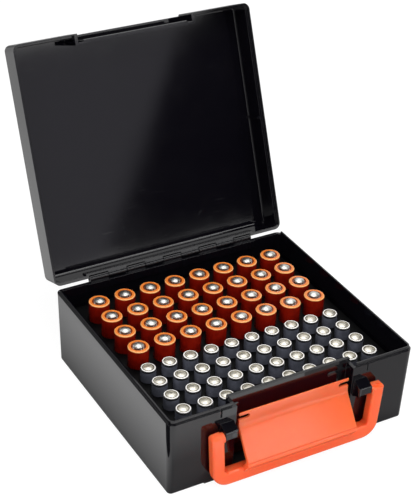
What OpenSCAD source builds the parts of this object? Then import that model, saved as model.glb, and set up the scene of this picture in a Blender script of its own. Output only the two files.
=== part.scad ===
// Battery storage case, moulded, with an orange handle that is also the latch.
// A socket block inside holds standing AA cells at the back and AAA cells in front.
// Origin: middle of the underside. +X runs along the front, +Y to the back, +Z up.
// The lid is drawn open on its stop, and the handle hangs down in front.

/* [Case] */
// Width of the case at its rim
case_w = 180; // [176:1:220]
// Depth of the case at its rim
case_d = 165; // [163:1:200]
// Height of the base's outer wall
base_h = 55.5; // [52:0.5:66]
// Height that the closed lid adds above the base's outer wall
lid_h = 21; // [18:0.5:30]
// Wall thickness of both shells
wall = 2.2; // [1.8:0.1:2.6]
// How far the base's walls lean in between rim and floor
base_draft = 1.8; // [0:0.1:2.4]
// How far the lid's walls lean in between rim and top
lid_draft = 0.8; // [0:0.1:1.6]
// Plan radius of the corners at the rim
corner_r = 4.8; // [4.6:0.2:12]
// Radius along the base's bottom edge
bottom_edge_r = 1.5; // [0.5:0.1:2]
// Radius along the lid's top edge
lid_edge_r = 2.4; // [1:0.1:3]

/* [Rim] */
// Height of the base's inner lip above its outer wall
lip_h = 2.4; // [1.5:0.1:3.5]
// Step from the outer face in to the lip
lip_in = 1.2; // [1:0.05:1.3]
// Gap between the two rims when the lid is shut
rim_gap = 0.3; // [0.2:0.05:0.6]
// Gap between the lip and the lid's rebate
rebate_gap = 0.3; // [0.2:0.05:0.4]

/* [Front recess] */
// Width of the recess in the base's front wall
recess_w = 86; // [80:1:88]
// How far the recess is set back from the front
recess_depth = 8.1; // [7.9:0.1:10]
// Thickness of the lid's wall in the recess
lid_recess_wall = 1.7; // [1.4:0.1:1.8]
// How far the top panel is set back over the lid's recess
roof_back = 2.2; // [1.5:0.1:4]
// How far the latch bead stands out from the lid's recess wall
bead_out = 1.5; // [0.8:0.1:1.6]
// Height of the latch bead
bead_h = 1.1; // [0.8:0.1:1.3]
// Distance of the rim slits from the case's middle
slit_x = 54; // [50:0.5:70]
// Width of a rim slit
slit_w = 1.1; // [0.6:0.1:2]
// Height of a rim slit
slit_h = 5.2; // [2:0.1:6]

/* [Hinge] */
// Spacing of the knuckles
knuckle_pitch = 14.3; // [11:0.1:15]
// Number of knuckles, base and lid together
knuckles = 9; // [5:2:9]
// Outer radius of a knuckle
knuckle_r = 2.2; // [2:0.05:2.3]
// Distance of the hinge axis behind the back face
hinge_out = 0.7; // [0.6:0.05:1]
// Height of the hinge axis above the base's outer wall
hinge_up = 1.7; // [1.6:0.05:2]
// Radius of the hinge pin
pin_r = 1.1; // [0.9:0.05:1.2]
// Radial clearance of the hinge pin in the knuckles
pin_fit = 0.06; // [0.03:0.01:0.1]
// End gap between neighbouring knuckles
knuckle_gap = 0.5; // [0.3:0.1:1]
// How far the lid stands open
lid_open = 112; // [90:1:120]

/* [Handle] */
// Distance of the handle's pivot in front of the case
pivot_out = 4.1; // [4:0.1:5]
// Distance of each arm's outer face from the middle, at the pivot
arm_x = 63.6; // [62:0.2:70]
// Width of an arm
arm_w = 8.5; // [7:0.1:10]
// Height of the crossbar
bar_h = 10.3; // [9:0.1:11]
// Thickness of the handle, front to back
handle_t = 7.4; // [6:0.1:7.4]
// Outer radius of the handle's lower corners
handle_corner_r = 12; // [11:0.5:14]
// Lean of the arms, outwards and up
arm_lean = 4; // [0:0.5:6]
// Height of an arm's end above the pivot
arm_above = 3.2; // [2.6:0.1:4]
// Clearance of the hanging handle above the table
bar_clear = 1.2; // [0.6:0.1:3]
// Radius of the handle's pivot pins
pivot_r = 1.6; // [1.4:0.05:1.7]
// Radial clearance of the pivot pins in the lugs
pivot_fit = 0.08; // [0.03:0.01:0.1]
// Gap between a lug and the arm beside it
lug_gap = 0.35; // [0.25:0.05:0.6]
// Width of a lug
lug_w = 9.4; // [8:0.1:9.6]

/* [Latch plate] */
// Width of the latch plate
plate_w = 81; // [76:0.5:82]
// Thickness of the latch plate
plate_t = 1.8; // [1.4:0.1:1.8]
// Height of the plate's top edge above the pivot
plate_above = 9.9; // [9:0.1:10]
// How far the plate's face lies behind the pivot
plate_back = 4.8; // [3:0.1:4.8]
// How far the nose of the plate stands out in front of the pivot
nose_out = 9.5; // [8.6:0.1:9.5]
// Height at which the nose catches, above the closed lid's rim
nose_catch = 4.8; // [4.6:0.1:6]
// Depth of the two end slots under the plate's top strip
slot_len = 7.5; // [4:0.5:12]
// Height of the end slots
end_slot_h = 3.3; // [1:0.1:3.4]
// Height of the plate's strip above the end slots
end_strip_h = 1.9; // [1.4:0.1:2.6]

/* [Cells] */
// Diameter of an AA cell
aa_d = 14.2; // [13.5:0.1:14.5]
// Height of an AA cell
aa_len = 50.5; // [49:0.1:51]
// Diameter of an AAA cell
aaa_d = 10.5; // [9.5:0.1:10.5]
// Height of an AAA cell
aaa_len = 44.5; // [43:0.1:45]
// Columns of AA cells
aa_cols = 8; // [2:1:8]
// Columns of AAA cells
aaa_cols = 10; // [2:1:10]
// Cells in one column of either kind
rows = 4; // [1:1:4]
// Room between the side walls and the outer cells
side_room = 13; // [8:0.5:16]
// Room between the back wall and the rearmost cells
back_room = 13.2; // [9:0.1:14]
// Room between the recess wall and the cells in front
front_room = 4.4; // [4:0.1:8]

/* [Socket block] */
// Height of the block's top above the case's floor
block_h = 38; // [20:1:40]
// Material left under each socket
socket_floor = 2.5; // [1.5:0.1:4]
// Radial clearance of a cell in its socket
socket_fit = 0.3; // [0.2:0.05:0.6]
// Clearance of the block to the case's walls
block_gap = 0.4; // [0.3:0.1:1]

/* [Hidden] */
AA_NODES = [for (i = [1:aa_cols]) str("aa_cells_column_", i)];
AAA_NODES = [for (i = [1:aaa_cols]) str("aaa_cells_column_", i)];
$fn = 64;
eps = 0.01;
far = 400;

shell_black = "#17171a";
handle_orange = "#f4552c";
block_black = "#0d0d0f";
steel = "#b9bbbd";
aa_red = "#6e1206";
aaa_blue = "#33343d";

half_w = case_w / 2;
half_d = case_d / 2;
top_z = base_h + lid_h;
rim_z = base_h + rim_gap;
lip_z = base_h + lip_h;
floor_t = wall + 0.2;
inner_r = corner_r - wall;

recess_y = -(half_d - recess_depth);
lid_recess_in_y = recess_y - rebate_gap;
lid_recess_y = lid_recess_in_y - lid_recess_wall;
lid_recess_w = recess_w + 1;
lid_recess_side = lid_recess_w / 2 + wall;

hinge_y = half_d + hinge_out;
hinge_z = base_h + hinge_up;
hinge_len = knuckles * knuckle_pitch;
knuckle_len = knuckle_pitch - knuckle_gap;
barrel_mid_r = (knuckle_r + pin_r + pin_fit) / 2;
pocket_r = knuckle_r + 0.35;
band_y = hinge_y - pocket_r - 1.5;
band_drop = 6;
lip_end_y = half_d - 4;

pivot_y = -(half_d + pivot_out);
pivot_z = top_z / 2;
arm_in_x = arm_x - arm_w;
lug_top = 8;
lug_out_x = arm_in_x - lug_gap - lug_top * tan(arm_lean);
lug_in_x = lug_out_x - lug_w;

block_z = floor_t;
socket_z = block_z + socket_floor;
block_top = floor_t + block_h;

// The columns share the room between the side walls, and the rows share the room
// between the back wall and the front recess
columns_w = case_w - 2 * wall - 2 * side_room;
back_edge_y = half_d - wall - back_room;
front_edge_y = recess_y + wall + front_room;
row_gap = (back_edge_y - front_edge_y - rows * (aa_d + aaa_d)) / (2 * rows - 1);
aa_pitch_x = fine((columns_w - aa_d) / (aa_cols - 1));
aaa_pitch_x = fine((columns_w - aaa_d) / (aaa_cols - 1));
aa_pitch_y = fine(aa_d + row_gap);
aaa_pitch_y = fine(aaa_d + row_gap);
aa_back_y = back_edge_y - aa_d / 2;
aaa_back_y = fine(front_edge_y + aaa_d / 2 + (rows - 1) * aaa_pitch_y);

// Points along an arc in the plane, from angle a0 to a1
function arc(c, r, a0, a1, n) =
    [for (i = [0:n]) let (a = a0 + (a1 - a0) * i / n) c + r * [cos(a), sin(a)]];

// To the nearest micrometre, so that flats and corner cones meet exactly
function fine(v) = round(v * 1000) / 1000;

// A block with round corners, whose outline moves in by the first value of each
// point of profile at the height that is the second value
module drafted_block(w, d, r, profile) {
    side = [for (p = profile) [fine(p[0]), fine(p[1])]];
    run_x = w - 2 * r;
    run_y = d - 2 * r;
    low = side[0][1];
    high = side[len(side) - 1][1];
    function face(half) = concat(
        [for (p = side) [half - p[0], p[1]]],
        [for (i = [len(side) - 1:-1:0]) [side[i][0] - half, side[i][1]]]);
    rotate([90, 0, 0])
        linear_extrude(height = run_y, center = true) polygon(face(w / 2));
    rotate([90, 0, 90])
        linear_extrude(height = run_x, center = true) polygon(face(d / 2));
    for (k = [0:3]) {
        sx = (k == 0 || k == 3) ? 1 : -1;
        sy = k < 2 ? 1 : -1;
        translate([sx * run_x / 2, sy * run_y / 2, 0]) rotate(90 * k)
            rotate_extrude(angle = 90)
                polygon(concat([[0, low]], [for (p = side) [r - p[0], p[1]]], [[0, high]]));
    }
}

// A box from its low and high corners
module span(low, high) {
    translate(low) cube(high - low);
}

// A prism along X between x0 and x1, from an outline in Y and Z
module bar_x(x0, x1, outline) {
    translate([x0, 0, 0]) rotate([90, 0, 90])
        linear_extrude(height = x1 - x0) polygon(outline);
}

// A rod along X between x0 and x1
module rod_x(x0, x1, y, z, r) {
    translate([x0, y, z]) rotate([0, 90, 0]) cylinder(h = x1 - x0, r = r);
}

// Turns its children with the lid, about the hinge axis
module lid_turn(angle) {
    translate([0, hinge_y, hinge_z]) rotate([-angle, 0, 0])
        translate([0, -hinge_y, -hinge_z]) children();
}

// Start of knuckle i along X
function knuckle_x(i) = -hinge_len / 2 + i * knuckle_pitch;

// Places its children at every second knuckle, from number first on. The base has
// the even ones and the lid the odd ones.
module knuckle_row(first, grow) {
    for (i = [first:2:knuckles - 1])
        translate([knuckle_x(i) + knuckle_gap / 2 - grow, 0, 0])
            children();
}

// Room for one knuckle of the other shell, cut out of a rim
module knuckle_pocket(up) {
    reach = pocket_r + 3;
    rod_x(0, knuckle_len + knuckle_gap, hinge_y, hinge_z, pocket_r);
    low = up ? hinge_z : rim_z - rim_gap - eps;
    high = up ? hinge_z + pocket_r : hinge_z;
    span([0, hinge_y - pocket_r, low], [knuckle_len + knuckle_gap, hinge_y + reach, high]);
}

// Bore for the hinge pin, through all the knuckles
module hinge_bore() {
    rod_x(-hinge_len / 2, hinge_len / 2, hinge_y, hinge_z, pin_r + pin_fit);
}

// A point at angle a around the hinge axis, at radius r
function round_hinge(r, a) = [hinge_y + r * cos(a), hinge_z + r * sin(a)];

// Where a point of the open lid, given from the hinge axis, lies when the lid is shut
function hinge_turned(y, z) = [
    hinge_y + y * cos(lid_open) - z * sin(lid_open),
    hinge_z + y * sin(lid_open) + z * cos(lid_open)];

// Barrel and gusset of one base knuckle
module base_knuckle() {
    drop = 6;
    gusset = [
        round_hinge(knuckle_r, 180),
        [hinge_y - knuckle_r, base_h - 1],
        [half_d - wall / 2, base_h - drop],
        [half_d - base_draft * drop / base_h, base_h - drop],
        round_hinge(knuckle_r, -50),
        round_hinge(barrel_mid_r, -60),
        round_hinge(barrel_mid_r, -150)];
    bar_x(0, knuckle_len, gusset);
    rod_x(0, knuckle_len, hinge_y, hinge_z, knuckle_r);
}

// Barrel, web and stop heel of one lid knuckle, in the closed place
module lid_knuckle() {
    heel_len = 4.8;
    heel_t = 1.8;
    heel_root = 1.5;
    heel_start = rim_gap - hinge_out;
    heel = [
        hinge_turned(heel_start, -heel_root),
        hinge_turned(heel_start, -heel_len),
        hinge_turned(heel_start + heel_t, -heel_len),
        hinge_turned(heel_start + heel_t, -heel_root)];
    web_z = hinge_z + knuckle_r + 2;
    web = [
        round_hinge(knuckle_r, 180),
        round_hinge(barrel_mid_r, 155),
        round_hinge(barrel_mid_r, 100),
        [half_d, web_z],
        [half_d - wall / 2, web_z]];
    bar_x(0, knuckle_len, web);
    rod_x(0, knuckle_len, hinge_y, hinge_z, knuckle_r);
    bar_x(0, knuckle_len, heel);
}

// Hook-shaped lug that carries one end of the handle
module lug() {
    skin = 1.15;
    front = pivot_y - pivot_r - pivot_fit - skin;
    root = -(half_d - base_draft - 0.5);
    top_nose = 4.1;
    chin = 1.2;
    outline = concat(
        [[root, pivot_z + lug_top]],
        arc([front + 0.8, pivot_z + top_nose - 0.8], 0.8, 65, 180, 4),
        arc([front + 0.5, pivot_z - chin + 0.5], 0.5, 180, 225, 2),
        [[pivot_y - 0.9, pivot_z - chin - 2],
            [pivot_y + 1.4, pivot_z - chin - 2.6],
            [root, pivot_z - 6.6]]);
    inner_r = 1.7;
    outer_r = 0.5;
    blind_end = 2;
    difference() {
        bar_x(lug_in_x, lug_out_x, outline);
        // Round the two upright edges of the nose, the wider one away from the arm
        translate([0, 0, pivot_z - far / 2]) linear_extrude(height = far) {
            polygon(concat([[lug_in_x - 1, front - 1], [lug_in_x - 1, front + inner_r]],
                arc([lug_in_x + inner_r, front + inner_r], inner_r, 180, 270, 4),
                [[lug_in_x + inner_r, front - 1]]));
            polygon(concat([[lug_out_x + 1, front - 1], [lug_out_x - outer_r, front - 1]],
                arc([lug_out_x - outer_r, front + outer_r], outer_r, 270, 360, 2),
                [[lug_out_x + 1, front + outer_r]]));
        }
        rod_x(lug_in_x + blind_end, lug_out_x + 1, pivot_y, pivot_z, pivot_r + pivot_fit);
    }
}

module base_shell() {
    lean = base_draft / base_h;
    low_in = base_draft - lean * bottom_edge_r;
    edge_c = [low_in + bottom_edge_r, bottom_edge_r];
    outer_side = concat(
        arc(edge_c, bottom_edge_r, 270, 180, 3),
        [[0, base_h], [lip_in, base_h], [lip_in, lip_z]]);
    inner_side = [[base_draft - lean * floor_t, floor_t], [0, base_h], [0, lip_z + 1]];
    recess_side = recess_w / 2 + wall;
    color(shell_black) difference() {
        union() {
            difference() {
                drafted_block(case_w, case_d, corner_r, outer_side);
                difference() {
                    drafted_block(case_w - 2 * wall, case_d - 2 * wall, inner_r, inner_side);
                    span([-recess_side, -far, -far], [recess_side, recess_y + wall, far]);
                    inner_band();
                }
                // Front recess, and the lip's end beside it
                span([-recess_w / 2, -far, -far], [recess_w / 2, recess_y, far]);
                span([-lid_recess_side - rebate_gap, -far, base_h],
                    [lid_recess_side + rebate_gap, recess_y, far]);
                // The lip runs along the front and the sides only
                span([-far, lip_end_y, base_h], [far, far, far]);
                for (s = [-1, 1])
                    span([s * slit_x - slit_w / 2, -half_d - 1, base_h - slit_h],
                        [s * slit_x + slit_w / 2, -half_d + lip_in, far]);
                knuckle_row(1, knuckle_gap / 2) knuckle_pocket(true);
            }
            knuckle_row(0, 0) base_knuckle();
            for (s = [0, 1]) mirror([s, 0, 0]) {
                lug();
                front_foot();
            }
        }
        hinge_bore();
    }
}

// Thick band along the top of the base's back wall, behind which the knuckles sit
module inner_band() {
    bar_x(-hinge_len / 2 - 2, hinge_len / 2 + 2, [
        [band_y, base_h],
        [band_y, base_h - band_drop],
        [half_d, base_h - band_drop - 3],
        [half_d, base_h]]);
}

// Square bottom edge under the handle, beside the recess
module front_foot() {
    foot_end = arm_x - 0.6;
    front = -(half_d - base_draft);
    span([recess_w / 2, front, 0], [foot_end, front + wall, bottom_edge_r + 0.5]);
}

module lid_shell() {
    color(shell_black) lid_turn(lid_open) closed_lid();
}

// The lid as it lies on the base
module closed_lid() {
    rise = top_z - rim_z;
    lean = lid_draft / rise;
    roof = top_z - wall;
    edge_c = [lid_draft + lid_edge_r, top_z - lid_edge_r];
    outer_side = concat([[0, rim_z]], arc(edge_c, lid_edge_r, 180, 90, 4));
    fillet_r = 1;
    fillet_c = [lean * (roof - rim_z) + fillet_r, roof - fillet_r];
    inner_side = concat([[0, rim_z - 1], [0, rim_z]], arc(fillet_c, fillet_r, 180, 90, 3));
    rebate = lip_in - rebate_gap;
    rebate_z = lip_z + rebate_gap;
    difference() {
        union() {
            difference() {
                drafted_block(case_w, case_d, corner_r, outer_side);
                difference() {
                    union() {
                        drafted_block(case_w - 2 * wall, case_d - 2 * wall, inner_r,
                            inner_side);
                        intersection() {
                            drafted_block(case_w - 2 * rebate, case_d - 2 * rebate,
                                corner_r - rebate, [[0, rim_z - 1], [0, rebate_z]]);
                            span([-far, -far, 0], [far, lip_end_y + 1, far]);
                        }
                    }
                    span([-lid_recess_side, -far, 0],
                        [lid_recess_side, lid_recess_in_y, far]);
                    lid_band();
                    for (s = [-1, 1]) side_rib(s);
                }
                // Front recess, roofed over by the top panel but for its front edge
                span([-lid_recess_w / 2, -far, 0], [lid_recess_w / 2, lid_recess_y, roof]);
                span([-lid_recess_w / 2, -far, 0], [lid_recess_w / 2, roof_back - half_d, far]);
                knuckle_row(0, knuckle_gap / 2) knuckle_pocket(false);
            }
            knuckle_row(1, 0) lid_knuckle();
            latch_bead();
        }
        hinge_bore();
    }
}

// Thick band along the lid's back rim, in front of the knuckles
module lid_band() {
    bar_x(-hinge_len / 2 - 2, hinge_len / 2 + 2, [
        [band_y, rim_z - 2],
        [band_y, rim_z + band_drop],
        [half_d, rim_z + band_drop + 3],
        [half_d, rim_z - 2]]);
}

// Small rib halfway along a side wall of the lid
module side_rib(side) {
    rib_w = 1.4;
    rib_out = 1.3;
    inner = half_w - wall - lid_draft - rib_out;
    x0 = side > 0 ? inner : -half_w;
    span([x0, -rib_w / 2, lip_z + 1], [x0 + half_w - inner, rib_w / 2, top_z]);
}

// Bead along the lid's recess wall, under the plate's nose when the case is latched
module latch_bead() {
    bead_end = plate_w / 2 - 1;
    bar_x(-bead_end, bead_end, [
        [lid_recess_y + eps, rim_z],
        [lid_recess_y - bead_out + 0.5, rim_z],
        [lid_recess_y - bead_out, rim_z + 0.5],
        [lid_recess_y - bead_out, rim_z + bead_h],
        [lid_recess_y + eps, rim_z + bead_h + 0.4]]);
}

module hinge_pin() {
    pin_end = hinge_len / 2 - 0.8;
    color(steel) rod_x(-pin_end, pin_end, hinge_y, hinge_z, pin_r);
}

// Outline of the handle's cross-section, u across the bar and v through its thickness
function grip_section(hu, e) =
    let (hv = handle_t / 2 - e, h = hu - e, r = max(1.7 - e, 0.2), n = 3)
    concat(
        arc([h - r, hv - r], r, 0, 90, n), arc([r - h, hv - r], r, 90, 180, n),
        arc([r - h, r - hv], r, 180, 270, n), arc([h - r, r - hv], r, 270, 360, n));

// One ring of the U-shaped grip: its outer edge passes through edge, n points outwards
function grip_ring(edge, a, hu, e) =
    let (n = [cos(a), sin(a)], c = edge - hu * n)
    [for (p = grip_section(hu, e)) let (q = c + p[0] * n) [q[0], pivot_y + p[1], q[1]]];

module grip() {
    bar_low = bar_clear;
    turn = 90 - arm_lean;
    start = 180 + arm_lean;
    knee_z = bar_low + handle_corner_r;
    knee_drop = handle_corner_r * sin(arm_lean);
    rise = (pivot_z - knee_z + knee_drop) / cos(arm_lean);
    knee_x = arm_x - rise * sin(arm_lean) - handle_corner_r * cos(arm_lean);
    knee = [-knee_x, knee_z];
    out = [cos(start), sin(start)];
    up = [-sin(arm_lean), cos(arm_lean)];
    foot = knee + handle_corner_r * out;
    top = rise + arm_above;
    arm_hu = arm_w / 2;
    bar_hu = bar_h / 2;
    steps = 9;
    // Each entry: how far up the arm, and how much the end is rounded in
    ends = [[0, 1.9], [0.5, 1.0], [1.2, 0.4], [2.2, 0]];
    left = concat(
        [for (t = ends) grip_ring(foot + (top - t[0]) * up, start, arm_hu, t[1])],
        [for (i = [0:steps]) let (k = i / steps, a = start + turn * k)
            grip_ring(knee + handle_corner_r * [cos(a), sin(a)], a,
                arm_hu + (bar_hu - arm_hu) * k, 0)]);
    right = [for (i = [len(left) - 1:-1:0]) [for (p = left[i]) [-p[0], p[1], p[2]]]];
    rings = concat(left, right);
    m = len(rings[0]);
    last = (len(rings) - 1) * m;
    polyhedron(
        points = [for (ring = rings) each ring],
        faces = concat(
            [[for (i = [0:m - 1]) i]],
            [for (k = [0:len(rings) - 2], i = [0:m - 1]) let (j = (i + 1) % m)
                [k * m + i, (k + 1) * m + i, (k + 1) * m + j, k * m + j]],
            [[for (i = [m - 1:-1:0]) last + i]]));
}

// Latch plate: upright top strip, slanting face, nose, and the web back to the bar
module latch_plate() {
    face_y = pivot_y + plate_back;
    back_y = face_y + plate_t;
    top = pivot_z + plate_above;
    kink_z = pivot_z - 0.3;
    nose_y = pivot_y - nose_out;
    nose_z = top_z - rim_z - nose_catch;
    nose_r = 0.5;
    face_end = [nose_y + 0.8, nose_z + 2.9];
    slant = atan2(face_y - face_end[0], kink_z - face_end[1]);
    bend_r = 6;
    bend = [face_y - bend_r, kink_z + bend_r * tan(slant / 2)];
    top_cut = 0.9;
    bar_top = bar_clear + bar_h;
    bar_front = pivot_y - handle_t / 2;
    outline = concat(
        [[face_y, top]],
        arc(bend, bend_r, 0, -slant, 4),
        [face_end, [nose_y + 1.1, nose_z + 1]],
        arc([nose_y + nose_r, nose_z], nose_r, 80, 250, 4),
        [[bar_front + 0.3, bar_top - 3.6],
            [bar_front + 2.2, bar_top - 1.2],
            [nose_y + 3.3, nose_z + 1.8],
            [back_y, kink_z - 1.1],
            [back_y, top - top_cut],
            [back_y - top_cut, top]]);
    half = plate_w / 2;
    slot_r = end_slot_h / 2;
    slot_z = top - end_strip_h - slot_r;
    slot_end = half - slot_len + slot_r;
    difference() {
        bar_x(-half, half, outline);
        for (s = [0, 1]) mirror([s, 0, 0]) {
            span([slot_end, face_y - 1, slot_z - slot_r], [half + 1, back_y + 1, slot_z + slot_r]);
            translate([slot_end, face_y - 1, slot_z]) rotate([-90, 0, 0])
                cylinder(h = plate_t + 2, r = slot_r);
        }
    }
}

module handle() {
    boss_r = arm_above + 0.3;
    pin_inner = lug_in_x + 2.4;
    color(handle_orange) {
        grip();
        latch_plate();
        for (s = [0, 1]) mirror([s, 0, 0]) {
            rod_x(lug_out_x + lug_gap, arm_in_x + 2, pivot_y, pivot_z, boss_r);
            rod_x(pin_inner, arm_in_x + 2, pivot_y, pivot_z, pivot_r);
        }
    }
}

module socket_block() {
    edge = base_draft + wall + block_gap;
    notch_x = recess_w / 2 + wall + block_gap;
    color(block_black) difference() {
        drafted_block(case_w - 2 * edge, case_d - 2 * edge, corner_r - base_draft,
            [[0, block_z], [0, block_top]]);
        span([-notch_x, -far, 0], [notch_x, recess_y + wall + block_gap, far]);
        for (i = [1:aa_cols]) sockets(aa_x(i), aa_back_y, aa_pitch_y, aa_d);
        for (i = [1:aaa_cols]) sockets(aaa_x(i), aaa_back_y, aaa_pitch_y, aaa_d);
    }
}

// One column of sockets
module sockets(x, back_y, pitch, d) {
    for (k = [0:rows - 1]) translate([x, back_y - k * pitch, socket_z])
        cylinder(h = far, r = d / 2 + socket_fit);
}

function aa_x(i) = (i - (aa_cols + 1) / 2) * aa_pitch_x;
function aaa_x(i) = (i - (aaa_cols + 1) / 2) * aaa_pitch_x;

// Sealed AA cell: printed jacket with a rolled rim, insulating ring and button
module aa_cell() {
    r = aa_d / 2;
    shoulder = aa_len - 1.2;
    rotate_extrude() polygon(concat(
        [[0, 0], [r - 1, 0]], arc([r - 0.6, 0.6], 0.6, 270, 360, 3),
        arc([r - 0.8, shoulder - 0.8], 0.8, 0, 90, 4),
        [[r - 2.1, shoulder], [r - 2.5, shoulder - 0.7], [r - 3.1, shoulder - 0.7],
            [r - 3.5, shoulder - 0.3], [2.9, shoulder - 0.3]],
        arc([2.2, aa_len - 0.6], 0.6, 0, 90, 3), [[0, aa_len]]));
}

// Sealed AAA cell: jacket with a round shoulder, raised end ring and a low button
module aaa_cell() {
    r = aaa_d / 2;
    shoulder = aaa_len - 1.1;
    ring_out = r - 0.45;
    ring_in = r - 1.9;
    dish = aaa_len - 0.7;
    button_r = 1.9;
    rotate_extrude() polygon(concat(
        [[0, 0], [r - 0.8, 0]], arc([r - 0.5, 0.5], 0.5, 270, 360, 3),
        arc([r - 0.4, shoulder - 0.4], 0.4, 0, 90, 3),
        [[ring_out - 0.1, shoulder]],
        arc([ring_out - 0.3, aaa_len - 0.3], 0.3, 0, 90, 3),
        arc([ring_in + 0.2, aaa_len - 0.2], 0.2, 90, 180, 2),
        [[ring_in - 0.1, dish], [button_r + 0.1, dish]],
        arc([button_r - 0.4, aaa_len - 0.4], 0.4, 0, 90, 3), [[0, aaa_len]]));
}

module aa_column(i) {
    color(aa_red) for (k = [0:rows - 1])
        translate([aa_x(i), aa_back_y - k * aa_pitch_y, socket_z]) aa_cell();
}

module aaa_column(i) {
    color(aaa_blue) for (k = [0:rows - 1])
        translate([aaa_x(i), aaa_back_y - k * aaa_pitch_y, socket_z]) aaa_cell();
}

base_shell();
lid_shell();
hinge_pin();
handle();
socket_block();
for (i = [1:aa_cols]) aa_column(i);
for (i = [1:aaa_cols]) aaa_column(i);
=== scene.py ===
import math

import bmesh
import bpy
from mathutils import Matrix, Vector
import numpy as np


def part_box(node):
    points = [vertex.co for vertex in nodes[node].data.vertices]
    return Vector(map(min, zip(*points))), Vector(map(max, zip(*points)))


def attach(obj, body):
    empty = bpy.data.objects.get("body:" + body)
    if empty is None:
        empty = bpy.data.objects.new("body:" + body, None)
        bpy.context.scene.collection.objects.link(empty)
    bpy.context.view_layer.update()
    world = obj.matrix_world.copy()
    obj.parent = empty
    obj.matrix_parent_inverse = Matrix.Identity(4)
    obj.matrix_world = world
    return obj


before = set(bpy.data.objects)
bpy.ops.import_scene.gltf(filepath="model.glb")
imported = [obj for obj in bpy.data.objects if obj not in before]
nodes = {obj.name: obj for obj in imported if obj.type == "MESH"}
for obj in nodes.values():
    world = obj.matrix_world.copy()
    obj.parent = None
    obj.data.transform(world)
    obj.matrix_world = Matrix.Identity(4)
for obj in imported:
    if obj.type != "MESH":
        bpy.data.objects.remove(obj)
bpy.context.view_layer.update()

# The cells stand in columns of four, from the back to the front
ROWS = 4
COLUMNS = {"aa": 8, "aaa": 10}


def cell_grid(kind):
    """Where a grid of cells stands, from the CAD's boxes: the first cell's axis, the spacing
    and the foot, then the cells' radius and length."""
    low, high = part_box(f"{kind}_cells_column_1")
    last_low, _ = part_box(f"{kind}_cells_column_{COLUMNS[kind]}")
    radius = (high.x - low.x) / 2
    places = {"Shift X": low.x + radius, "Shift Y": high.y - radius,
              "Pitch X": (last_low.x - low.x) / (COLUMNS[kind] - 1),
              "Pitch Y": (high.y - low.y - 2 * radius) / (ROWS - 1), "Foot": low.z}
    return places, radius, high.z - low.z


def linear(red, green, blue):
    """A colour as the eye reads it, 0 to 255, in the linear values that a shader takes."""
    def channel(v):
        """The inverse of the sRGB curve: a straight foot, then a power of 2.4."""
        v /= 255
        return v / 12.92 if v <= 0.04045 else ((v + 0.055) / 1.055) ** 2.4
    return (channel(red), channel(green), channel(blue), 1)


# Building node trees

class Graph:
    """Adds nodes to one tree and links them, for a material or an effect."""

    def __init__(self, tree):
        self.tree = tree

    def add(self, kind, inputs=None, **settings):
        """A new node with its settings, and its inputs set or linked."""
        node = self.tree.nodes.new(kind)
        for name, value in settings.items():
            setattr(node, name, value)
        for name, value in (inputs or {}).items():
            self.feed(node, name, value)
        return node

    def feed(self, node, name, value):
        """Fills one input of a node, found by its name or number."""
        self.fill(node.inputs[name], value)

    def fill(self, socket, value):
        """Links another node's output to a socket, or sets the socket's own value."""
        if isinstance(value, bpy.types.NodeSocket):
            self.tree.links.new(value, socket)
        else:
            socket.default_value = value

    def maths(self, operation, a, b=0.0, c=None):
        """The result of one operation on two or three numbers."""
        node = self.add("ShaderNodeMath", {0: a, 1: b}, operation=operation)
        if c is not None:
            self.feed(node, 2, c)
        return node.outputs[0]

    def ramp(self, value, low, high, to_low=0.0, to_high=1.0, smooth=True):
        """A step from to_low, where the value is low, to to_high, where it is high: an S-shaped
        curve between them, or a straight line where smooth is off."""
        node = self.add("ShaderNodeMapRange", {"Value": value, "From Min": low, "From Max": high,
                                               "To Min": to_low, "To Max": to_high})
        node.interpolation_type = "SMOOTHSTEP" if smooth else "LINEAR"
        return node.outputs["Result"]

    def beyond(self, value, edge, soft):
        """1 where the value is past an edge, 0 before it, with a soft step between them."""
        return self.ramp(value, edge - soft, edge + soft)

    def within(self, value, edge, soft):
        """1 where the value is short of an edge, 0 past it, with a soft step between them."""
        return self.ramp(value, edge + soft, edge - soft)

    def noise(self, vector, scale, detail=2.0):
        """A cloudy pattern round a half, with as many waves a metre as its scale."""
        node = self.add("ShaderNodeTexNoise", {"Vector": vector, "Scale": scale,
                                               "Detail": detail})
        return node.outputs["Fac"]

    def mix(self, factor, a, b):
        """Colour a where the factor is 0, colour b where it is 1, and their blend between."""
        node = self.add("ShaderNodeMix", data_type="RGBA", clamp_factor=True)
        sockets = {socket.identifier: socket for socket in node.inputs}
        for name, value in (("Factor_Float", factor), ("A_Color", a), ("B_Color", b)):
            self.fill(sockets[name], value)
        return next(s for s in node.outputs if s.identifier == "Result_Color")

    def effect(self, group, inputs):
        """The outputs of one of the shared effects."""
        return self.add("ShaderNodeGroup", inputs, node_tree=group).outputs

    def place(self):
        """The x, y and z of the shaded point, from the object's own coordinates."""
        vector = self.add("ShaderNodeTexCoord").outputs["Object"]
        return self.add("ShaderNodeSeparateXYZ", {"Vector": vector}).outputs


# Effects that the finishes share

def effect_group(name, inputs, outputs):
    """An empty effect that reads a vector and named numbers, and its graph and two ends."""
    group = bpy.data.node_groups.new(name, "ShaderNodeTree")
    group.interface.new_socket(name="Vector", in_out="INPUT", socket_type="NodeSocketVector")
    for label, value in inputs.items():
        socket = group.interface.new_socket(name=label, in_out="INPUT",
                                            socket_type="NodeSocketFloat")
        socket.default_value = value
    for label in outputs:
        group.interface.new_socket(name=label, in_out="OUTPUT", socket_type="NodeSocketFloat")
    graph = Graph(group)
    return group, graph, graph.add("NodeGroupInput").outputs, graph.add("NodeGroupOutput")


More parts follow.
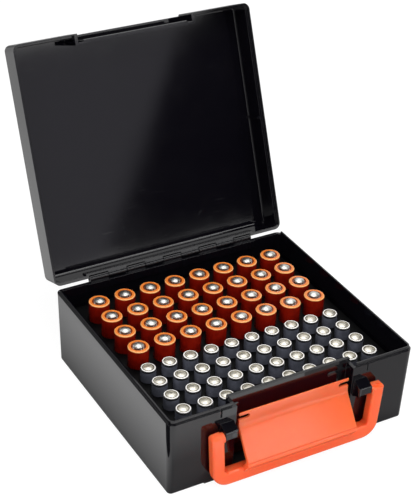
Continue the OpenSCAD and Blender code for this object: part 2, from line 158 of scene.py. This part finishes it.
def make_hairlines():
    """Fine scratches: noise stretched along two directions, kept only at its thin crests."""
    group, g, source, out = effect_group("hairline_scratches", {"Amount": 0.5}, ["Mask"])
    strands = []
    for turn, stretch in (((0.3, 0.2, 0.7), (1, 26, 14)), ((-0.5, 0.6, -0.4), (20, 1, 18))):
        mapped = g.add("ShaderNodeMapping", {"Vector": source["Vector"],
                                             "Rotation": turn, "Scale": stretch})
        strands.append(g.ramp(g.noise(mapped.outputs["Vector"], 46.0), 0.66, 0.74))
    both = g.maths("MAXIMUM", strands[0], strands[1])
    where = g.ramp(g.noise(source["Vector"], 30.0), 0.42, 0.62)
    g.feed(out, "Mask", g.maths("MULTIPLY", g.maths("MULTIPLY", both, where), source["Amount"]))
    return group


def make_dust():
    """Specks and a thin film, more on faces that look up."""
    group, g, source, out = effect_group("settled_dust", {"Amount": 0.5}, ["Mask"])
    normal = g.add("ShaderNodeNewGeometry").outputs["Normal"]
    height = g.add("ShaderNodeSeparateXYZ", {"Vector": normal}).outputs["Z"]
    up = g.ramp(height, 0.2, 1.0, 0.25, 1.0)
    specks = g.ramp(g.noise(source["Vector"], 900.0, 1.0), 0.70, 0.78)
    film = g.ramp(g.noise(source["Vector"], 60.0, 4.0), 0.45, 0.75, 0.0, 0.35)
    total = g.maths("MULTIPLY", g.maths("ADD", specks, film), up)
    g.feed(out, "Mask", g.maths("MULTIPLY", total, source["Amount"]))
    return group


def make_moulded_skin():
    """Height of a moulded surface: slow sink and flow waves plus a faint fine grain."""
    group, g, source, out = effect_group("moulded_skin", {"Waves": 0.6, "Grain": 0.2},
                                         ["Height"])
    slow = g.noise(source["Vector"], 28.0, 1.0)
    fine = g.maths("MULTIPLY", g.noise(source["Vector"], 1400.0), source["Grain"])
    g.feed(out, "Height", g.maths("MULTIPLY_ADD", slow, source["Waves"], fine))
    return group


def make_cell_places():
    """Distance from the axis of the nearest cell in a grid, and height above its foot."""
    group, g, source, out = effect_group(
        "cell_places",
        {"Shift X": 0.0, "Shift Y": 0.0, "Pitch X": 0.02, "Pitch Y": 0.02, "Foot": 0.0},
        ["Radius", "Height"])
    place = g.add("ShaderNodeSeparateXYZ", {"Vector": source["Vector"]}).outputs
    local = []
    for axis in "XY":
        pitch = source[f"Pitch {axis}"]
        moved = g.maths("SUBTRACT", place[axis], source[f"Shift {axis}"])
        steps = g.maths("ROUND", g.maths("DIVIDE", moved, pitch))
        local.append(g.maths("SUBTRACT", moved, g.maths("MULTIPLY", steps, pitch)))
    square = g.maths("MULTIPLY_ADD", local[0], local[0], g.maths("MULTIPLY", local[1], local[1]))
    g.feed(out, "Radius", g.maths("SQRT", square))
    g.feed(out, "Height", g.maths("SUBTRACT", place["Z"], source["Foot"]))
    return group


HAIRLINES = make_hairlines()
DUST = make_dust()
MOULDED_SKIN = make_moulded_skin()
CELL_PLACES = make_cell_places()


# Finishes

def finish(name):
    """A new material with a Principled shader, its graph and the object's own coordinates."""
    material = bpy.data.materials.new(name)
    material.use_nodes = True
    material.node_tree.nodes.clear()
    g = Graph(material.node_tree)
    shader = g.add("ShaderNodeBsdfPrincipled")
    g.add("ShaderNodeOutputMaterial", {"Surface": shader.outputs["BSDF"]})
    place = g.add("ShaderNodeTexCoord").outputs["Object"]
    return material, g, shader, place


def uneven(g, shader, height, strength, distance, normal=None):
    """Tilts the normal, the surface's own or a given one, by the slope of a height pattern."""
    bump = g.add("ShaderNodeBump", {"Height": height, "Strength": strength,
                                    "Distance": distance})
    if normal is not None:
        g.feed(bump, "Normal", normal)
    g.feed(shader, "Normal", bump.outputs["Normal"])


def moulded_plastic(name, colour, edge_colour, roughness, grain, waves, edge_radius, tone,
                    dusty=0.12, worn=0.6):
    """Injection-moulded plastic: softly rounded edges, faint flow waves, hairlines and dust."""
    material, g, shader, place = finish(name)
    rounded = g.add("ShaderNodeBevel", {"Radius": edge_radius}, samples=4).outputs["Normal"]
    flat = g.add("ShaderNodeNewGeometry").outputs["Normal"]
    along = g.add("ShaderNodeVectorMath", {0: rounded, 1: flat}, operation="DOT_PRODUCT")
    edge = g.ramp(along.outputs["Value"], 0.995, 0.86)
    lines = g.effect(HAIRLINES, {"Vector": place, "Amount": 0.5})["Mask"]
    dust = g.effect(DUST, {"Vector": place, "Amount": 0.35})["Mask"]
    flow = g.noise(place, 18.0, 3.0)
    body = g.mix(g.ramp(flow, 0.3, 0.7, 0.0, tone), colour, edge_colour)
    body = g.mix(g.maths("MULTIPLY", edge, worn), body, edge_colour)
    dust_grey = linear(150, 148, 142)
    body = g.mix(g.maths("MULTIPLY", dust, dusty), body, dust_grey)
    g.feed(shader, "Base Color", body)
    lines_add, dust_adds, flow_adds = 0.22, 0.2, 0.02
    rough = g.maths("MULTIPLY_ADD", lines, lines_add, roughness)
    rough = g.maths("MULTIPLY_ADD", dust, dust_adds, rough)
    rough = g.maths("MULTIPLY_ADD", g.ramp(flow, 0.35, 0.7), flow_adds, rough)
    g.feed(shader, "Roughness", rough)
    skin = g.effect(MOULDED_SKIN, {"Vector": place, "Waves": waves, "Grain": grain})
    uneven(g, shader, skin["Height"], strength=0.25, distance=0.0004, normal=rounded)
    return material, shader


def case_black():
    """The shells' gloss: nearly black, and smooth enough to mirror the studio."""
    material, shader = moulded_plastic(
        "case_black_gloss", linear(8, 7, 12), linear(20, 19, 24), roughness=0.045, grain=0.02,
        waves=0.2, edge_radius=0.0005, tone=0.1, dusty=0.03, worn=0.5)
    shader.inputs["IOR"].default_value = 1.5
    return material


def handle_orange():
    """The handle's orange, which light enters a little, as it does a bright plastic."""
    material, shader = moulded_plastic(
        "handle_orange", linear(255, 103, 56), linear(255, 126, 84), roughness=0.08, grain=0.1,
        waves=0.12, edge_radius=0.0009, tone=0.1)
    shader.inputs["IOR"].default_value = 1.45
    shader.inputs["Subsurface Weight"].default_value = 0.8
    shader.inputs["Subsurface Radius"].default_value = (1.0, 0.15, 0.08)
    shader.inputs["Subsurface Scale"].default_value = 0.006
    return material


def block_black():
    """The socket block's matt black, which stays dark between the cells."""
    material, shader = moulded_plastic(
        "block_black_matt", linear(3, 3, 4), linear(8, 8, 10), roughness=0.55, grain=0.6,
        waves=0.3, edge_radius=0.0004, tone=0.25, dusty=0.02)
    shader.inputs["Specular IOR Level"].default_value = 0.12
    return material


def pin_steel():
    """Drawn steel: a bright metal with fine lines along the rod."""
    material, g, shader, place = finish("pin_steel_drawn")
    drawn = g.add("ShaderNodeMapping", {"Vector": place, "Scale": (6, 300, 300)})
    streak = g.noise(drawn.outputs["Vector"], 12.0, 3.0)
    g.feed(shader, "Base Color", g.mix(streak, linear(150, 152, 155), linear(205, 206, 208)))
    g.feed(shader, "Roughness", g.ramp(streak, 0.3, 0.7, 0.22, 0.38))
    shader.inputs["Metallic"].default_value = 1.0
    uneven(g, shader, streak, strength=0.2, distance=0.0001)
    return material


def aa_surface(g, mottle, radius, height, outer, length):
    """Dark red jacket that turns orange over the round shoulder, then a bare steel button. The
    orange top is paler at its outer edge as a painted highlight, and darker at its inner edge as
    painted shade.
    """
    button, painted_shade_ring, painted_highlight_edge = outer - 0.0031, outer - 0.00215, outer - 0.00055
    warm_from, warm_to, shoulder_foot = length - 0.011, length - 0.002, length - 0.0019
    patchy = g.ramp(mottle, 0.3, 0.7)
    steel = g.within(radius, button, soft=0.0001)
    shoulder = g.beyond(height, shoulder_foot, soft=0.0002)
    jacket = g.mix(patchy, linear(112, 13, 4), linear(134, 20, 6))
    jacket = g.mix(g.ramp(height, warm_from, warm_to, 0.0, 0.35), jacket, linear(140, 26, 8))
    top = g.mix(patchy, linear(226, 118, 44), linear(238, 136, 58))
    # Painted highlight: the orange top turns pale towards its outer edge
    top = g.mix(g.beyond(radius, painted_highlight_edge, soft=0.00025), top, linear(250, 178, 108))
    # Painted shade: a dark ring at the inner edge of the orange top
    top = g.mix(g.within(radius, painted_shade_ring, soft=0.00025), top, linear(128, 62, 20))
    bare = g.mix(g.ramp(mottle, 0.35, 0.7), linear(190, 190, 184), linear(226, 226, 222))
    colour = g.mix(steel, g.mix(shoulder, jacket, top), bare)
    jacket_rough, top_rough, steel_rough = 0.14, 0.22, 0.16
    rough = g.ramp(shoulder, 0.0, 1.0, jacket_rough, top_rough, smooth=False)
    rough = g.ramp(steel, 0.0, 1.0, rough, steel_rough, smooth=False)
    return colour, steel, rough


def aaa_surface(g, mottle, radius, height, outer, length):
    """Grey-blue jacket with a dark neck, a bare rim painted near white as a painted highlight,
    and a warm metal end with a dark ring of painted shade round it."""
    end_edge, shade_ring_outer, shade_ring_inner = outer - 0.00115, outer - 0.0013, outer - 0.00185
    neck_foot, highlight_rim_foot = length - 0.00165, length - 0.0004
    rough_from, rough_to = length - 0.0022, length - 0.0017
    patchy = g.ramp(mottle, 0.3, 0.7)
    rim = g.beyond(height, highlight_rim_foot, soft=0.0001)
    middle = g.within(radius, end_edge, soft=0.00015)
    jacket = g.mix(patchy, linear(84, 86, 96), linear(98, 100, 112))
    jacket = g.mix(g.beyond(height, neck_foot, soft=0.00025), jacket, linear(12, 12, 16))
    # Painted highlight: the bare rim at the top is painted near white
    bright = g.mix(patchy, linear(238, 234, 230), linear(250, 248, 246))
    end = g.mix(patchy, linear(212, 206, 188), linear(238, 234, 220))
    # Painted shade: a dark ring round the nub of the metal end
    line = g.maths("MULTIPLY", g.beyond(radius, shade_ring_inner, soft=0.00015),
                   g.within(radius, shade_ring_outer, soft=0.0001))
    end = g.mix(line, end, linear(70, 62, 52))
    colour = g.mix(middle, g.mix(rim, jacket, bright), end)
    jacket_rough, top_rough, metal_share = 0.22, 0.32, 0.6
    rough = g.ramp(height, rough_from, rough_to, jacket_rough, top_rough)
    return colour, g.maths("MULTIPLY", middle, metal_share), rough


def cell_finish(name, kind, surface):
    """A cell's finish. The surface gives colour, metal and roughness from the distance to the
    cell's axis and the height over its foot; scuffs and a faint unevenness are added."""
    material, g, shader, place = finish(name)
    places, outer, length = cell_grid(kind)
    cell = g.effect(CELL_PLACES, {"Vector": place, **places})
    mottle = g.noise(place, 260.0, 3.0)
    colour, metal, rough = surface(g, mottle, cell["Radius"], cell["Height"], outer, length)
    scuffs = g.effect(HAIRLINES, {"Vector": place, "Amount": 0.6})["Mask"]
    scuffs_add = 0.2
    g.feed(shader, "Base Color", colour)
    g.feed(shader, "Metallic", metal)
    g.feed(shader, "Roughness", g.maths("MULTIPLY_ADD", scuffs, scuffs_add, rough))
    uneven(g, shader, mottle, strength=0.08, distance=0.0002)
    return material


def dress():
    """Gives every CAD node its finish."""
    case = case_black()
    finishes = {"base_shell": case, "lid_shell": case, "socket_block": block_black(),
                "hinge_pin": pin_steel(), "handle": handle_orange()}
    jackets = {"aa": cell_finish("aa_red_jacket", "aa", aa_surface),
               "aaa": cell_finish("aaa_grey_jacket", "aaa", aaa_surface)}
    for kind, jacket in jackets.items():
        for number in range(1, COLUMNS[kind] + 1):
            finishes[f"{kind}_cells_column_{number}"] = jacket
    for name, material in finishes.items():
        mesh = nodes[name].data
        mesh.materials.clear()
        mesh.materials.append(material)


dress()


# Steel terminals of the cells

RING_RADIANS_PER_METRE = 26000.0
STEPS_AROUND = 40
DOME_STEPS, ARC_STEPS = 10, 6
SAME_POINT = 1e-7


def turned_pieces(name, profile, centres):
    """Closed surfaces of revolution, one at each centre: the profile's radius and height are
    one parameter and the turn is the other. The profile starts and ends on the axis."""
    turn = np.linspace(0, 2 * np.pi, STEPS_AROUND, endpoint=False)
    radius, height = np.array(profile).T
    ring = np.stack([radius[:, None] * np.cos(turn), radius[:, None] * np.sin(turn),
                     height[:, None] + 0 * turn], -1)
    points = (np.array(centres)[:, None, None] + ring).reshape(-1, 3)
    index = np.arange(len(points)).reshape(len(centres), len(radius), STEPS_AROUND)
    after = np.roll(index, -1, 2)
    faces = np.stack([index[:, 1:], after[:, 1:], after[:, :-1], index[:, :-1]], -1)
    mesh = bpy.data.meshes.new(name)
    mesh.from_pydata(points.tolist(), [], faces.reshape(-1, 4).tolist())
    joined = bmesh.new()
    joined.from_mesh(mesh)
    bmesh.ops.remove_doubles(joined, verts=joined.verts, dist=SAME_POINT)
    joined.to_mesh(mesh)
    joined.free()
    mesh.shade_smooth()
    obj = bpy.data.objects.new(name, mesh)
    bpy.context.scene.collection.objects.link(obj)
    return obj


def steel_finish(kind, dull, bright, roughness):
    """Pressed steel: a bright metal with faint turned rings round each terminal, a sine of the
    radius."""
    material, g, shader, place = finish(f"{kind}_terminal_steel")
    places, _, _ = cell_grid(kind)
    radius = g.effect(CELL_PLACES, {"Vector": place, **places})["Radius"]
    wave = g.maths("SINE", g.maths("MULTIPLY", radius, RING_RADIANS_PER_METRE))
    rings = g.maths("MULTIPLY_ADD", wave, 0.5, 0.5)
    mottle = g.noise(place, 420.0, 3.0)
    g.feed(shader, "Base Color", g.mix(g.ramp(mottle, 0.3, 0.7), dull, bright))
    g.feed(shader, "Roughness", g.ramp(mottle, 0.3, 0.7, roughness, roughness + 0.1))
    shader.inputs["Metallic"].default_value = 1.0
    height = g.maths("MULTIPLY_ADD", rings, 0.3, mottle)
    uneven(g, shader, height, strength=0.12, distance=0.0001)
    return material


def steel_terminals(kind, steel, rise, fall, rim, edge, foot):
    """A domed steel terminal over each cell's button: its height falls with the square of the
    radius, and a short arc turns it down at the edge."""
    places, _, length = cell_grid(kind)
    lean = math.atan(2 * fall * rim)
    dome = [(r, rise - fall * r * r) for r in np.linspace(0, rim, DOME_STEPS)]
    arc = [(rim + edge * (math.cos(a) - math.sin(lean)),
            dome[-1][1] + edge * (math.sin(a) - math.cos(lean)))
           for a in np.linspace(math.pi / 2 - lean, 0, ARC_STEPS)[1:]]
    profile = dome + arc + [(arc[-1][0], foot), (0, foot)]
    top = places["Foot"] + length
    centres = [(places["Shift X"] + places["Pitch X"] * column,
                places["Shift Y"] - places["Pitch Y"] * row, top)
               for column in range(COLUMNS[kind]) for row in range(ROWS)]
    terminals = turned_pieces(f"{kind}_terminals", profile, centres)
    terminals.data.materials.append(steel)
    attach(terminals, "case")


aa_steel = steel_finish("aa", dull=linear(196, 196, 190), bright=linear(232, 232, 228),
                        roughness=0.32)
steel_terminals("aa", aa_steel, rise=0.00038, fall=70.0, rim=0.0035, edge=0.0003,
                foot=-0.00185)
aaa_steel = steel_finish("aaa", dull=linear(216, 210, 194), bright=linear(242, 238, 228),
                         roughness=0.36)
steel_terminals("aaa", aaa_steel, rise=0.00016, fall=60.0, rim=0.0030, edge=0.00012,
                foot=-0.00072)


# Studio: floor, world, lamps, camera, and what the glossy black shows in its reflections

WHITE = (1, 1, 1, 1)
FINE_STEPS, PLAIN_STEPS = 24, 6
WORLD_LIGHT = 0.42
SOFTBOX_TARGET = (0, 0, 0.05)

# The floor's half width, its glow to the eye and in reflections, and its three shades
FLOOR_REACH = 4.0
FLOOR_GLOW, MIRRORED_FLOOR_GLOW = 0.9, 0.69
FLOOR_SHADE, MIRRORED_FLOOR_SHADE, SEEN_FLOOR_SHADE = 0.85, 0.5, 0.17

# The upright cards' plane, and the wide card's light with its edge: x at height 0, x per metre
# of height, and half the width of the soft step
CARD_Y = -3.0
CARD_GAP = 0.003
CARD_FOOT, CARD_TOP = 0.05, 1.6
CARD_LIGHT = 0.66
PANEL_EDGE_START, PANEL_EDGE_SLOPE, PANEL_EDGE_SOFT = 0.815, 0.737, 0.05

# The heights of the level gear
CEILING_Z = 1.6
WINDOW_Z = 1.5
FLOOR_CARD_Z = 0.001

# The photograph's camera: sizes and centre in pixels, place in metres and unit axes
PHOTO_WIDTH, PHOTO_HEIGHT = 414, 497
FOCAL_PIXELS = 1456.418
CENTRE_PIXELS = (209.91, 248.75)
SENSOR_WIDTH = 36.0
CAMERA_AT = (-0.42286, -0.67780, 0.60548)
CAMERA_RIGHT = (0.87017, -0.49122, 0.03874)
CAMERA_DOWN = (-0.23066, -0.47555, -0.84891)
CAMERA_FORWARD = (0.43542, 0.72976, -0.52712)


def sheet(name, corners, steps):
    """A flat four-cornered surface: each point is the blend of the corners by two parameters."""
    u, v = np.meshgrid(np.linspace(0, 1, steps), np.linspace(0, 1, steps))
    a, b, c, d = (np.array(p, float) for p in corners)
    u, v = u[..., None], v[..., None]
    points = (a * (1 - u) * (1 - v) + b * u * (1 - v) + c * u * v + d * (1 - u) * v)
    index = np.arange(steps * steps).reshape(steps, steps)
    faces = np.stack([index[:-1, :-1], index[:-1, 1:], index[1:, 1:], index[1:, :-1]], -1)
    mesh = bpy.data.meshes.new(name)
    mesh.from_pydata(points.reshape(-1, 3).tolist(), [], faces.reshape(-1, 4).tolist())
    obj = bpy.data.objects.new(name, mesh)
    bpy.context.scene.collection.objects.link(obj)
    return obj


def upright(x0, x1, y, z0, z1):
    """The four corners of an upright rectangle that faces along y."""
    return [(x0, y, z0), (x1, y, z0), (x1, y, z1), (x0, y, z1)]


def level(x0, x1, y0, y1, z):
    """The four corners of a level rectangle."""
    return [(x0, y0, z), (x1, y0, z), (x1, y1, z), (x0, y1, z)]


def grey(value):
    """A grey of the given linear value."""
    return (value, value, value, 1)


def stage_material(name):
    """A new material for studio gear, its graph and its output node."""
    material = bpy.data.materials.new(name)
    material.use_nodes = True
    material.node_tree.nodes.clear()
    g = Graph(material.node_tree)
    return material, g, g.add("ShaderNodeOutputMaterial")


def make_floor():
    """A white floor: white to the eye with a faint shadow, and with a full one in reflections,
    where it also glows left of the case and before it, fading to the right and to the back. In
    reflections the glow stops short of the case's left and front walls as a painted contact
    shadow, and its fades to the right and the back are painted falloff of light."""
    corners = level(-FLOOR_REACH, FLOOR_REACH, -FLOOR_REACH, FLOOR_REACH, 0)
    floor = sheet("floor", corners, FINE_STEPS)
    material, g, out = stage_material("floor_white")
    path = g.add("ShaderNodeLightPath").outputs
    mirrored = g.maths("MAXIMUM", path["Is Glossy Ray"], path["Is Transmission Ray"])
    place = g.place()
    # Painted contact shadow in reflections: no glow near the case's left and front walls
    left_of_case = g.ramp(place["X"], -0.086, -0.114, smooth=False)
    before_case = g.ramp(place["Y"], -0.105, -0.130, smooth=False)
    away = g.maths("MAXIMUM", left_of_case, before_case)
    # Painted falloff of light in reflections: the glow fades to the right and to the back
    to_right = g.ramp(place["X"], -0.04, 0.02, MIRRORED_FLOOR_GLOW, 0.0)
    to_back = g.ramp(place["Y"], 0.02, 0.45, 1.0, 0.4, smooth=False)
    fades = g.maths("MULTIPLY", to_right, to_back)
    mirrored_glow = g.maths("MULTIPLY", mirrored, g.maths("MULTIPLY", away, fades))
    glow = g.maths("MULTIPLY_ADD", path["Is Camera Ray"], FLOOR_GLOW, mirrored_glow)
    shade = g.mix(mirrored, grey(FLOOR_SHADE), grey(MIRRORED_FLOOR_SHADE))
    shade = g.mix(path["Is Camera Ray"], shade, grey(SEEN_FLOOR_SHADE))
    matt = g.add("ShaderNodeBsdfDiffuse", {"Color": shade})
    lamp = g.add("ShaderNodeEmission", {"Color": WHITE, "Strength": glow})
    both = g.add("ShaderNodeAddShader", {0: matt.outputs[0], 1: lamp.outputs[0]})
    g.feed(out, "Surface", both.outputs[0])
    floor.data.materials.append(material)


def reflected_sheet(name, corners, light, colour=WHITE, steps=PLAIN_STEPS):
    """A piece of studio gear that glows and that nothing but a glossy surface sees. The light
    is its strength, or a function that works it out in the material's graph."""
    gear = sheet(name, corners, steps)
    material, g, out = stage_material(name)
    strength = light(g) if callable(light) else light
    lamp = g.add("ShaderNodeEmission", {"Color": colour, "Strength": strength})
    g.feed(out, "Surface", lamp.outputs[0])
    gear.data.materials.append(material)
    gear.visible_camera = False
    gear.visible_diffuse = False
    gear.visible_shadow = False
    gear.visible_transmission = False


def panel_light(g):
    """The wide card's light, which the lid's panel mirrors: a dim band between an upright soft
    edge on the left and a slanting one on the right, up to a level end, and black elsewhere."""
    place = g.place()
    edge = g.maths("MULTIPLY_ADD", place["Z"], PANEL_EDGE_SLOPE, PANEL_EDGE_START)
    right = g.ramp(g.maths("SUBTRACT", edge, place["X"]), -PANEL_EDGE_SOFT, PANEL_EDGE_SOFT)
    left = g.ramp(place["X"], 0.93, 1.05)
    below = g.ramp(place["Z"], 1.24, 1.235)
    return g.maths("MULTIPLY", g.maths("MULTIPLY", left, right),
                   g.maths("MULTIPLY", below, CARD_LIGHT))


def make_cards():
    """Upright cards in front of the object: the wide one for the lid's panel, and smaller ones
    that glow for the lid's rim, the latch plate, the panel's foot and the left corners."""
    reflected_sheet("studio_card", upright(-2.7, 3.6, CARD_Y, CARD_FOOT, CARD_TOP),
                    panel_light, colour=(0.93, 0.91, 1, 1), steps=FINE_STEPS)
    for name, x0, x1, z0, z1, strength in (
            ("rim_card", 0.95, 1.79, 1.238, 1.30, 2.4),
            ("plate_card", 0.6, 1.755, 1.32, 1.52, 2.8),
            ("low_card", -2.7, 3.6, CARD_FOOT, 0.535, 2.2),
            ("left_card", -4.6, -2.8, CARD_FOOT, CARD_TOP, 3.5)):
        corners = upright(x0, x1, CARD_Y + CARD_GAP, z0, z1)
        reflected_sheet(name, corners, strength)


def make_ceiling():
    """A dark ceiling over the object, with bright windows under it."""
    for name, corners, strength in (
            ("studio_ceiling", level(-3, 3, -3, 1.2, CEILING_Z), 0.02),
            ("far_window", level(0.5, 1.4, -1.9, -1.35, WINDOW_Z), 5.0),
            ("back_window", level(-0.15, 0.9, 0.05, 1.19, WINDOW_Z), 3.0),
            ("front_window", level(-0.35, 0.0, -0.45, 0.0, WINDOW_Z), 3.0)):
        reflected_sheet(name, corners, strength)


def make_floor_cards():
    """A dark flag on the floor at the left, which the base's lip mirrors, and a bright strip
    in front of the latch plate, along the way its reflection runs."""
    reflected_sheet("floor_flag", level(-0.17, -0.1197, -0.1, 0.17, FLOOR_CARD_Z), 0.05)
    near, far = -0.128, -0.75
    corners = [(x, y, FLOOR_CARD_Z) for x, y in (
        (0.35, far), (0.425, far), (0.05, near), (-0.025, near))]
    reflected_sheet("floor_strip", corners, 1.7)


def make_world():
    """White all round to the eye and in reflections, and an even soft light otherwise."""
    world = bpy.data.worlds.new("studio")
    world.use_nodes = True
    world.node_tree.nodes.clear()
    g = Graph(world.node_tree)
    path = g.add("ShaderNodeLightPath").outputs
    mirrored = g.maths("MAXIMUM", path["Is Glossy Ray"], path["Is Transmission Ray"])
    seen = g.maths("MAXIMUM", path["Is Camera Ray"], mirrored)
    strength = g.ramp(seen, 0.0, 1.0, WORLD_LIGHT, 1.0, smooth=False)
    back = g.add("ShaderNodeBackground", {"Color": WHITE, "Strength": strength})
    g.add("ShaderNodeOutputWorld", {"Surface": back.outputs[0]})
    bpy.context.scene.world = world


def make_camera():
    """The photograph's camera, solved from the case's edges and the cells' tops."""
    camera = bpy.data.cameras.new("photo_camera")
    camera.sensor_width = SENSOR_WIDTH
    camera.lens = FOCAL_PIXELS * SENSOR_WIDTH / PHOTO_HEIGHT
    camera.shift_x = (PHOTO_WIDTH / 2 - CENTRE_PIXELS[0]) / PHOTO_HEIGHT
    camera.shift_y = (CENTRE_PIXELS[1] - PHOTO_HEIGHT / 2) / PHOTO_HEIGHT
    camera.clip_start = 0.01
    camera.clip_end = 50
    obj = bpy.data.objects.new("photo_camera", camera)
    bpy.context.scene.collection.objects.link(obj)
    obj.matrix_world = Matrix(
        [[CAMERA_RIGHT[i], -CAMERA_DOWN[i], -CAMERA_FORWARD[i], CAMERA_AT[i]]
         for i in range(3)] + [[0, 0, 0, 1]])
    bpy.context.scene.camera = obj


def softbox(name, at, size, power):
    """A rectangular lamp that looks at the object and shows in no reflection."""
    lamp = bpy.data.lights.new(name, "AREA")
    lamp.shape = "RECTANGLE"
    lamp.size, lamp.size_y = size
    lamp.energy = power
    obj = bpy.data.objects.new(name, lamp)
    bpy.context.scene.collection.objects.link(obj)
    forward = np.array(SOFTBOX_TARGET) - np.array(at)
    forward /= np.linalg.norm(forward)
    side = np.cross(forward, (0, 0, 1) if abs(forward[2]) < 0.98 else (0, 1, 0))
    side /= np.linalg.norm(side)
    up = np.cross(side, forward)
    obj.matrix_world = Matrix([[side[i], up[i], -forward[i], at[i]] for i in range(3)]
                              + [[0, 0, 0, 1]])
    obj.visible_glossy = False


make_floor()
make_cards()
make_ceiling()
make_floor_cards()
make_world()
make_camera()
softbox("top_softbox", (0.0, -0.15, 1.35), (1.0, 0.8), 8.5)
softbox("left_softbox", (-1.1, -0.5, 0.9), (0.7, 0.9), 7.0)
softbox("right_softbox", (1.0, -0.9, 1.1), (0.6, 0.8), 5.0)
softbox("front_softbox", (0.1, -1.4, 0.6), (0.9, 0.5), 4.5)

scene = bpy.context.scene
scene.view_settings.view_transform = "Standard"
